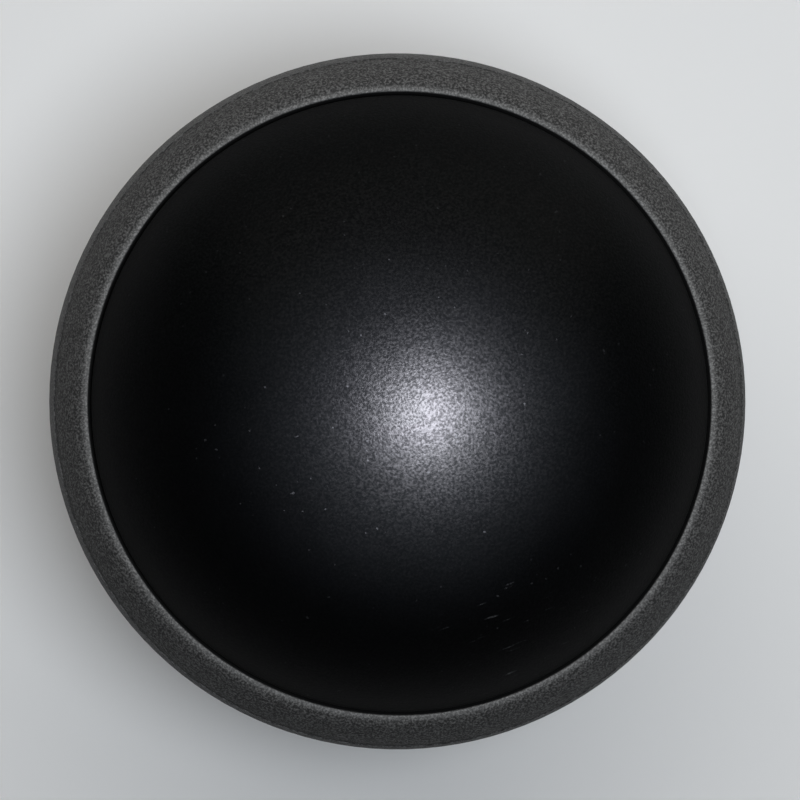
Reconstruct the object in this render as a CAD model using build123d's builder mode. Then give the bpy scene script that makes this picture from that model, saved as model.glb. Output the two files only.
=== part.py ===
"""Lawn bowl, size 4, lying on its far side.

The bowl is a body of revolution about Z. Z = 0 is the flat face of the bias
disc that it rests on, and +Z points to the apex of the near side. All sizes
are in millimetres.

Each side is drawn as if it faced upwards, on a plane of its own: local x is
the distance from the axis, and local y is the height above the running plane,
the middle plane of the bowl.
"""
import os
from math import cos, radians, sin, sqrt, tan

from build123d import *

# ---- driving dimensions ----
running_diameter = 124.0   # largest diameter, on the running plane
near_half_width = 56.5     # running plane to the apex of the near side
far_half_width = 53.5      # running plane to the flat of the bias disc

seam_radius = 52.8         # inner edge of the band's lip, beside each cap
near_seam_height = 30.0
far_seam_height = 29.4     # less than the near side's, which gives the bowl its bias

groove_width = 0.7         # V groove between a cap and the lip
groove_slope = 70.0        # degrees, of the lip's side of the groove
cap_edge_round = 0.7

lip_height = 0.3           # top of the lip above the dome's line at the seam
lip_corner = 0.3           # radius of the lip's inner corner
lip_round = 2.8            # radius that turns the lip's top into the shoulder
shoulder_slope = 48.0      # degrees below level, where the shoulder leaves the lip
shoulder_turn = 22.0       # degrees more, where it reaches the running surface
shoulder_radius = 20.0
crown_step = 0.2           # fine ledge between the shoulder and the running surface

cap_thickness = 6.0
skirt_depth = 9.0          # rim of a cap, below the seam
skirt_width = 4.0
band_thickness = 8.0
key_depth = 3.0            # rib inside the band that locks it to the core
key_width = 10.0

disc_radius = 16.0         # bias disc, let into the far cap
disc_thickness = 3.0
disc_edge_round = 0.25
bias_ring_radius = 19.5    # ring turned into the far cap around the disc
bias_ring_round = 0.6      # radius of the ring's section

# ---- values worked out from them ----
running_radius = running_diameter / 2
core_radius = running_radius - band_thickness
cap_radius = seam_radius - groove_width
skirt_inner = cap_radius - skirt_width

middle = (0, 0, far_half_width)
near_plane = Plane(origin=middle, x_dir=(1, 0, 0), z_dir=(0, -1, 0))
far_plane = Plane(origin=middle, x_dir=(1, 0, 0), z_dir=(0, 1, 0))


class Side:
    """One side's dome: a sphere through the seam and through the top.

    The top is the apex, or the rim of a flat of the given radius. The cap's
    inner surface, which sits on the core, is a sphere about the same centre.
    """

    def __init__(self, plane, seam_height, top_height, flat_radius=0.0):
        rise = top_height - seam_height
        below_seam = (seam_radius**2 - flat_radius**2 - rise**2) / (2 * rise)
        self.plane = plane
        self.seam_height = seam_height
        self.centre = seam_height - below_seam
        self.outer_radius = sqrt(seam_radius**2 + below_seam**2)
        self.inner_radius = self.outer_radius - cap_thickness
        self.skirt_corner = (cap_radius, seam_height - skirt_depth)

    def outer(self, radius):
        """Point of the cap's outer surface at this distance from the axis."""
        return (radius, self.centre + sqrt(self.outer_radius**2 - radius**2))

    def inner(self, radius):
        """Point of the cap's inner surface at this distance from the axis."""
        return (radius, self.centre + sqrt(self.inner_radius**2 - radius**2))


near = Side(near_plane, near_seam_height, near_half_width)
far = Side(far_plane, far_seam_height, far_half_width, disc_radius)


def draw_seat(side):
    """The core's seat for a cap: its domed top, and the rebate for its skirt."""
    ThreePointArc(side.inner(0), side.inner(skirt_inner / 2), side.inner(skirt_inner))
    Polyline(
        side.inner(skirt_inner),
        (skirt_inner, side.skirt_corner[1]),
        side.skirt_corner,
    )


def draw_cap(side):
    """Half section of a domed cap with a skirt."""
    draw_seat(side)
    Line(side.skirt_corner, side.outer(cap_radius))
    ThreePointArc(side.outer(cap_radius), side.outer(cap_radius / 2), side.outer(0))
    Line(side.outer(0), side.inner(0))


def draw_half_core(side):
    """Half section of the core, from the running plane up to the cap's seat."""
    draw_seat(side)
    TangentArc((core_radius, 0), side.skirt_corner, tangent=(0, 1))
    Polyline((core_radius, 0), (0, 0), side.inner(0))


def draw_half_band(side):
    """Half section of the band, from the running plane up to its lip and groove."""
    slope = radians(groove_slope)
    groove_top = (seam_radius, side.seam_height + lip_height - lip_corner)
    groove_bottom = (cap_radius, groove_top[1] - groove_width * tan(slope))
    TangentArc((core_radius, 0), side.skirt_corner, tangent=(0, 1))
    Polyline(side.skirt_corner, groove_bottom, groove_top)
    corner = JernArc(groove_top, (cos(slope), sin(slope)), lip_corner, -groove_slope)
    top = JernArc(corner @ 1, corner % 1, lip_round, -shoulder_slope)
    shoulder = JernArc(top @ 1, top % 1, shoulder_radius, -shoulder_turn)
    crown = Line(shoulder @ 1, (shoulder @ 1) + (crown_step, 0))
    TangentArc((running_radius, 0), crown @ 1, tangent=(0, 1))
    Line((running_radius, 0), (core_radius, 0))


# ---- core: solid dense moulding, with seats for the caps and the band ----
with BuildPart() as core:
    for side in (near, far):
        with BuildSketch(side.plane):
            with BuildLine():
                draw_half_core(side)
            make_face()
            with Locations((core_radius, 0)):
                Rectangle(2 * key_depth, key_width, mode=Mode.SUBTRACT)
    revolve(axis=Axis.Z)
core.part.label = "core"

# ---- running band: grained outer moulding that the bowl rolls on ----
with BuildPart() as running_band:
    for side in (near, far):
        with BuildSketch(side.plane):
            with BuildLine():
                draw_half_band(side)
            make_face()
            with Locations((core_radius, 0)):
                Rectangle(2 * key_depth, key_width)
    revolve(axis=Axis.Z)
running_band.part.label = "running_band"

# ---- near side cap: plain satin dome ----
with BuildPart() as near_side_cap:
    with BuildSketch(near.plane):
        with BuildLine():
            draw_cap(near)
        make_face()
        fillet(vertices().sort_by_distance(near.outer(cap_radius))[0], cap_edge_round)
    revolve(axis=Axis.Z)
near_side_cap.part.label = "near_side_cap"

# ---- far side cap: the same, with a recess for the bias disc and a turned ring ----
with BuildPart() as far_side_cap:
    with BuildSketch(far.plane):
        with BuildLine():
            draw_cap(far)
        make_face()
        fillet(vertices().sort_by_distance(far.outer(cap_radius))[0], cap_edge_round)
        with Locations((0, far_half_width - disc_thickness)):
            Rectangle(
                disc_radius,
                cap_thickness,
                align=(Align.MIN, Align.MIN),
                mode=Mode.SUBTRACT,
            )
        with Locations(far.outer(bias_ring_radius)):
            Circle(bias_ring_round, mode=Mode.SUBTRACT)
    revolve(axis=Axis.Z)
far_side_cap.part.label = "far_side_cap"

# ---- bias disc: blank inlaid disc, which marks the bias side ----
with BuildPart() as bias_disc:
    Cylinder(disc_radius, disc_thickness, align=(Align.CENTER, Align.CENTER, Align.MIN))
    fillet(bias_disc.edges().filter_by(Plane.XY).sort_by(Axis.Z)[0], disc_edge_round)
bias_disc.part.label = "bias_disc"

os.makedirs("parts", exist_ok=True)
for piece in (core, running_band, near_side_cap, far_side_cap, bias_disc):
    export_step(piece.part, f"parts/{piece.part.label}.step")
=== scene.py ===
"""The looks of the lawn bowl: materials, floor, soft studio light and camera."""
import math

import bpy
from mathutils import Matrix, Vector


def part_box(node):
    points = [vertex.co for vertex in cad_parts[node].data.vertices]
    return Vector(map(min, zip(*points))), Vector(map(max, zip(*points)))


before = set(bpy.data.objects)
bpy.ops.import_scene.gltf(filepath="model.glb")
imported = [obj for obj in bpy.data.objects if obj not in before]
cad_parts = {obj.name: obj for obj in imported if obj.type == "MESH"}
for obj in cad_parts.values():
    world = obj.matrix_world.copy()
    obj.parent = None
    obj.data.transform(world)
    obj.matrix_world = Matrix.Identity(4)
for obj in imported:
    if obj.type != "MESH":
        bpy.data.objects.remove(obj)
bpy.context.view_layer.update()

MM = 0.001
SCENE = bpy.context.scene

# ---- places on the bowl ----
band_low, band_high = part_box("running_band")
cap_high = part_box("near_side_cap")[1]
RUNNING_PLANE = (band_low.z + band_high.z) / 2
LIP_TOP = band_high.z
APEX = Vector((0, 0, cap_high.z))
CAP_RADIUS = cap_high.x
GROOVE_WIDTH = 0.7 * MM
LIP_RADIUS = CAP_RADIUS + GROOVE_WIDTH      # inner edge of the band's lip

# ---- grain and wear ----
CAP_GRAIN = 0.44 * MM
BAND_GRAIN = 0.40 * MM
DUST_SIZE = 0.9 * MM
SCRATCH_LENGTH = 4.5 * MM
SCRATCH_WIDTH = 0.45 * MM
SCRATCH_TURN = 0.35                         # radians about Z, from +X
SCUFF = (0.38 * CAP_RADIUS, -0.79 * CAP_RADIUS, LIP_TOP + 0.3 * (APEX.z - LIP_TOP))
SCUFF_RADIUS = 9 * MM
LIP_HIGHLIGHT_WIDTH = 0.25 * MM                    # of the lip, painted light all over: a painted highlight, partly rubbing wear
LIP_HIGHLIGHT_FADE_WIDTH = 1.2 * MM                   # from the lip's edge to where the painted highlight and wear end
GROOVE_BLUR = 0.1 * MM


# ---- materials ----
class Shader:
    """A small helper that adds linked nodes to a new material."""

    SOCKETS = {
        "colour": "Base Color",
        "roughness": "Roughness",
        "specular": "Specular IOR Level",
        "mirror_tint": "Specular Tint",
        "normal": "Normal",
    }

    def __init__(self, name):
        self.material = bpy.data.materials.new(name)
        self.material.use_nodes = True
        self.tree = self.material.node_tree
        self.coords = self.tree.nodes.new("ShaderNodeTexCoord").outputs["Object"]

    def feed(self, socket, value):
        """Links an output to the socket, or sets a plain value on it."""
        if isinstance(value, bpy.types.NodeSocket):
            self.tree.links.new(value, socket)
        else:
            socket.default_value = value

    def add(self, kind, inputs, **settings):
        node = self.tree.nodes.new(kind)
        for key, value in settings.items():
            setattr(node, key, value)
        for key, value in inputs.items():
            self.feed(node.inputs[key], value)
        return node

    def noise(self, size, detail=2.0, roughness=0.5):
        """Noise whose blobs are about this size, in metres."""
        inputs = {"Vector": self.coords, "Scale": 1 / size, "Detail": detail, "Roughness": roughness}
        return self.add("ShaderNodeTexNoise", inputs).outputs["Fac"]

    def hairlines(self, length, width, turn):
        """Noise drawn out into lines of about this length and width, turned about Z."""
        inputs = {"Vector": self.coords, "Rotation": (0, 0, turn), "Scale": (length, width, length)}
        drawn_out = self.add("ShaderNodeMapping", inputs, vector_type="TEXTURE").outputs["Vector"]
        inputs = {"Vector": drawn_out, "Scale": 1.0, "Detail": 1.0}
        return self.add("ShaderNodeTexNoise", inputs).outputs["Fac"]

    def near_point(self, point, radius):
        """1 within this radius of the point, falling to 0 at twice the radius."""
        inputs = {0: self.coords, 1: point}
        away = self.add("ShaderNodeVectorMath", inputs, operation="DISTANCE").outputs["Value"]
        return self.span(away, radius, 2 * radius, 1.0, 0.0)

    def off_axis(self):
        """Distance from the bowl's axis."""
        inputs = {0: self.coords, 1: (1, 1, 0)}
        across = self.add("ShaderNodeVectorMath", inputs, operation="MULTIPLY").outputs["Vector"]
        return self.add("ShaderNodeVectorMath", {0: across}, operation="LENGTH").outputs["Value"]

    def span(self, value, low, high, to_low=0.0, to_high=1.0):
        """Maps low..high to to_low..to_high, and holds it there outside."""
        inputs = {"Value": value, 1: low, 2: high, 3: to_low, 4: to_high}
        return self.add("ShaderNodeMapRange", inputs).outputs["Result"]

    def follow(self, grain, to_low, to_high):
        """Goes from to_low to to_high with the grain, which is mostly within 0.3..0.7."""
        return self.span(grain, 0.3, 0.7, to_low, to_high)

    def maths(self, operation, first, second):
        return self.add("ShaderNodeMath", {0: first, 1: second}, operation=operation).outputs[0]

    def blend(self, factor, first, second):
        """The first colour where the factor is 0, and the second where it is 1."""
        inputs = {0: factor, 6: first, 7: second}
        return self.add("ShaderNodeMix", inputs, data_type="RGBA").outputs[2]

    def bump(self, height, depth):
        return self.add("ShaderNodeBump", {"Height": height, "Distance": depth}).outputs["Normal"]

    def surface(self, **inputs):
        """Feeds the material's main shader, and gives the finished material."""
        bsdf = self.tree.nodes["Principled BSDF"]
        for key, value in inputs.items():
            self.feed(bsdf.inputs[self.SOCKETS[key]], value)
        return self.material


def grey(level, warmth=0.0):
    """A linear grey, which leans to red with a warmth above 0 and to blue below 0."""
    return (level * (1 + warmth), level, level * (1 - warmth), 1.0)


def cap_marks(shader, grain):
    """Specks of dust all over, and a few broken scratches around the scuffed place."""
    dust = shader.span(shader.noise(DUST_SIZE, detail=1.0), 0.76, 0.79, to_high=0.25)
    drawn_out = shader.hairlines(SCRATCH_LENGTH, SCRATCH_WIDTH, SCRATCH_TURN)
    lines = shader.span(drawn_out, 0.70, 0.78)
    broken = shader.maths("MULTIPLY", lines, shader.span(grain, 0.40, 0.60, to_low=0.1))
    scratches = shader.maths("MULTIPLY", broken, shader.near_point(SCUFF, SCUFF_RADIUS))
    return shader.maths("MAXIMUM", dust, scratches)


def satin_black():
    """Side caps: black and satin, with a fine sparkling grain."""
    shader = Shader("satin_black")
    grain = shader.noise(CAP_GRAIN, roughness=0.7)
    mottle = shader.noise(9 * MM)
    black = shader.blend(mottle, grey(0.0008, warmth=-0.1), grey(0.0014, warmth=-0.1))
    return shader.surface(
        colour=shader.blend(cap_marks(shader, grain), black, grey(0.04, warmth=-0.03)),
        roughness=shader.follow(grain, 0.355, 0.405),
        specular=0.06,
        mirror_tint=shader.span(grain, 0.40, 0.68, to_low=0.2),
        normal=shader.bump(grain, 0.03 * MM),
    )


def grained_grey():
    """Running band: matt composite with fine light grains, a lighter lip (painted highlight, partly
    rubbing wear) and painted shade in the groove.
    """
    shader = Shader("grained_grey")
    grain = shader.noise(BAND_GRAIN, roughness=0.7)
    light_grains = shader.span(grain, 0.43, 0.65)
    matt = shader.blend(light_grains, grey(0.023, warmth=0.01), grey(0.093, warmth=0.01))
    # the lip's lighter colour is a painted highlight along the lip, partly rubbing wear
    wear_and_painted_highlight = shader.blend(light_grains, grey(0.085, warmth=0.01), grey(0.185, warmth=0.01))
    off_axis = shader.off_axis()
    off_lip = shader.span(off_axis, LIP_RADIUS + LIP_HIGHLIGHT_WIDTH, LIP_RADIUS + LIP_HIGHLIGHT_FADE_WIDTH)
    # the groove is painted near black: painted shade in the groove between cap and lip
    beyond_painted_groove_shade = shader.span(off_axis, LIP_RADIUS - GROOVE_BLUR, LIP_RADIUS + GROOVE_BLUR)
    return shader.surface(
        colour=shader.blend(beyond_painted_groove_shade, grey(0.012), shader.blend(off_lip, wear_and_painted_highlight, matt)),
        roughness=shader.follow(grain, 0.60, 0.45),
        specular=0.03,
        normal=shader.bump(grain, 0.12 * MM),
    )


def disc_black():
    """Bias disc: semi-gloss black, lighter than the caps."""
    shader = Shader("disc_black")
    grain = shader.noise(0.8 * MM)
    return shader.surface(
        colour=shader.blend(grain, grey(0.018), grey(0.026)),
        roughness=shader.follow(grain, 0.22, 0.3),
        normal=shader.bump(grain, 0.004 * MM),
    )


def raw_moulding():
    """Core: rough dark moulding, hidden inside."""
    shader = Shader("raw_moulding")
    grain = shader.noise(1.5 * MM)
    return shader.surface(
        colour=shader.blend(grain, grey(0.04), grey(0.06)),
        roughness=0.8,
        normal=shader.bump(grain, 0.05 * MM),
    )


def pale_floor():
    """Floor: plain, matt and pale."""
    shader = Shader("pale_floor")
    mottle = shader.noise(60 * MM)
    return shader.surface(
        colour=shader.blend(mottle, grey(0.70), grey(0.72)),
        roughness=0.9,
        specular=0.1,
    )


def dress(node, material):
    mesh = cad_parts[node].data
    mesh.materials.clear()
    mesh.materials.append(material)


cap_material = satin_black()
dress("near_side_cap", cap_material)
dress("far_side_cap", cap_material)
dress("running_band", grained_grey())
dress("bias_disc", disc_black())
dress("core", raw_moulding())

# ---- floor ----
FLOOR_HALF = 3.0                            # half of its side
corners = [(x * FLOOR_HALF, y * FLOOR_HALF, 0) for x, y in ((-1, -1), (1, -1), (1, 1), (-1, 1))]
floor_mesh = bpy.data.meshes.new("floor")
floor_mesh.from_pydata(corners, [], [(0, 1, 2, 3)])
floor_mesh.materials.append(pale_floor())
floor = bpy.data.objects.new("floor", floor_mesh)
SCENE.collection.objects.link(floor)


# ---- light ----
def place(thing, location, target):
    """Puts a light or camera there, looking at the target, with +Y upwards in its view."""
    back = (location - target).normalized()
    right = Vector((0, 1, 0)).cross(back).normalized()
    up = back.cross(right)
    thing.location = location
    thing.rotation_euler = Matrix((right, up, back)).transposed().to_euler()
    SCENE.collection.objects.link(thing)


def add_light(name, kind, location, target, **settings):
    light = bpy.data.lights.new(name, kind)
    for key, value in settings.items():
        setattr(light, key, value)
    place(bpy.data.objects.new(name, light), location, target)


CAMERA_HEIGHT = RUNNING_PLANE + 0.480
FRONT = Vector((0.070, -0.025, CAMERA_HEIGHT))
REAR = Vector((0.10, 0.98, 0.88))

# a narrow spot makes the highlight on the near cap
add_light(
    "front_spot", "SPOT", FRONT, APEX + Vector((0.003, -0.002, 0)),
    energy=228.0,
    color=(0.88, 0.88, 0.98),
    spot_size=math.radians(6.3),
    spot_blend=1.0,
    shadow_soft_size=0.018,
)

# a weak disc in the same place lights the lip and the shoulder
add_light(
    "front_dish", "AREA", FRONT, APEX,
    energy=1.52,
    color=(0.90, 0.95, 1.0),
    shape="DISK",
    size=0.18,
)

# a large soft box lights the floor and the rear of the band
add_light(
    "soft_box", "AREA", REAR, Vector((0, 0, RUNNING_PLANE)),
    energy=24.0,
    color=(1.0, 0.99, 0.97),
    shape="RECTANGLE",
    size=3.0,
    size_y=1.5,
)

world = bpy.data.worlds.new("studio")
world.use_nodes = True
background = world.node_tree.nodes["Background"]
background.inputs["Color"].default_value = (0.9, 0.94, 1.0, 1.0)
background.inputs["Strength"].default_value = 0.03
SCENE.world = world
SCENE.view_settings.view_transform = "Standard"

# ---- camera, nearly on the bowl's axis ----
EYE = Vector((-0.0089, 0.0086, CAMERA_HEIGHT))
LOOK_AT = Vector((-0.00004, 0.00069, LIP_TOP))
camera_data = bpy.data.cameras.new("camera")
camera_data.sensor_width = 36.0
camera_data.lens = 119.8
camera = bpy.data.objects.new("camera", camera_data)
place(camera, EYE, LOOK_AT)
SCENE.camera = camera
